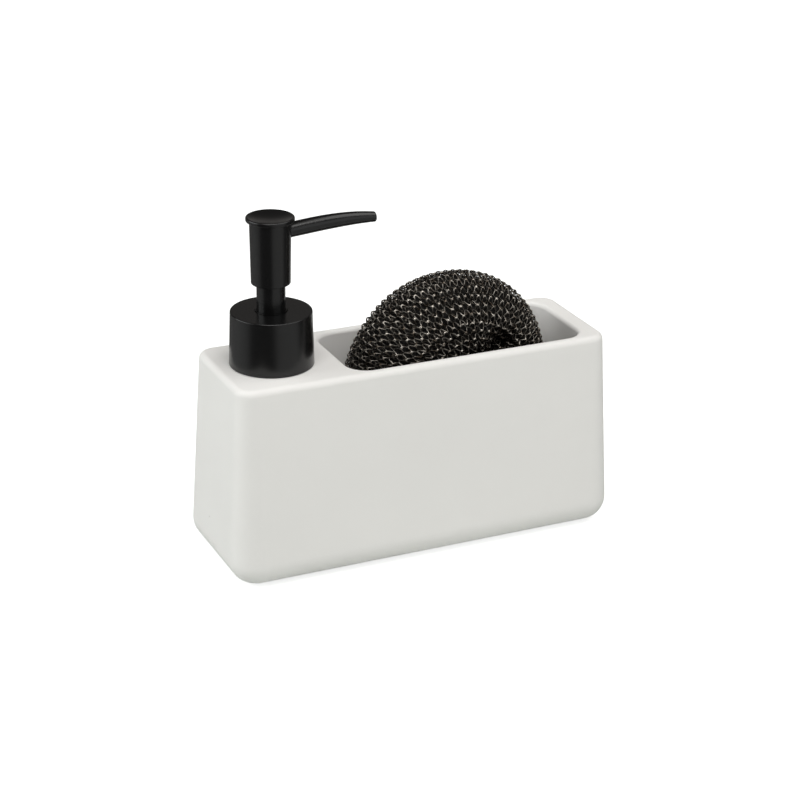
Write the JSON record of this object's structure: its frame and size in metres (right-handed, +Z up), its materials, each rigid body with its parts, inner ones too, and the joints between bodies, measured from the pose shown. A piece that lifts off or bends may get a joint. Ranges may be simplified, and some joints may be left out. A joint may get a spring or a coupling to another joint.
{
  "type": "soap pump caddy",
  "caption": "Rounded stoneware sink caddy with a black screw-in lotion pump over a soap reservoir and an open pocket holding a knitted wire scourer.",
  "frame": {"origin": "on the floor, under the middle of the casting", "axes": "+X along the casting from the pump end to the pocket end, +Y to the back, +Z up"},
  "size_m": [0.1822, 0.0684, 0.1565],
  "materials": {
    "stoneware": "matte white",
    "black_plastic": "satin black",
    "natural_plastic": "natural, slightly cloudy",
    "neck_plastic": "white",
    "gasket_foam": "matte",
    "pad_rubber": "matte, slightly clear",
    "spring_steel": "drawn wire",
    "valve_ball": "polished",
    "knitted_wire": "knitted dark metal ribbon"
  },
  "bodies": {
    "caddy": {"caddy_body": "stoneware", "foot_pad_1": "pad_rubber", "foot_pad_2": "pad_rubber", "foot_pad_3": "pad_rubber", "foot_pad_4": "pad_rubber", "neck_ring": "neck_plastic"},
    "pump": {"pump_housing": "natural_plastic", "neck_gasket": "gasket_foam", "chaplet": "black_plastic", "dip_tube": "natural_plastic", "return_spring": "spring_steel"},
    "collar": {"collar_shell": "black_plastic", "closure_cap": "black_plastic"},
    "piston": {"piston_seal": "natural_plastic"},
    "head": {"pump_head": "black_plastic", "plunger_tube": "black_plastic", "stem": "natural_plastic", "piston_rod": "natural_plastic"},
    "inlet_ball": {"inlet_ball": "valve_ball"},
    "scourer": {"scourer": "knitted_wire"}
  },
  "joints": [
    {"name": "pump_rise", "type": "slide", "parent": "caddy", "child": "pump", "axis": [0, 0, 1], "range_m": [0, 0.0063]},
    {"name": "collar_turn", "type": "hinge", "parent": "pump", "child": "collar", "pos_m": [-0.06212, 0, 0.1], "axis": [0, 0, 1], "range_deg": [0, 540]},
    {"name": "press", "type": "slide", "parent": "pump", "child": "piston", "axis": [0, 0, -1], "range_m": [0, 0.0115], "stiffness_N_per_m": 900, "springref_m": -0.003, "deforming": ["return_spring"]},
    {"name": "nozzle_swivel", "type": "hinge", "parent": "piston", "child": "head", "pos_m": [-0.06212, 0, 0.14], "axis": [0, 0, 1], "continuous": true},
    {"name": "inlet_ball_lift", "type": "slide", "parent": "pump", "child": "inlet_ball", "axis": [0, 0, 1], "range_m": [0, 0.0012]},
    {"name": "scourer_lift", "type": "slide", "parent": "caddy", "child": "scourer", "axis": [0.2588, 0, 0.9659], "range_m": [0, 0.08]}
  ],
  "couplings": [
    {"joint": "collar_turn", "follows": "pump_rise", "rad_per_m": 1496}
  ]
}
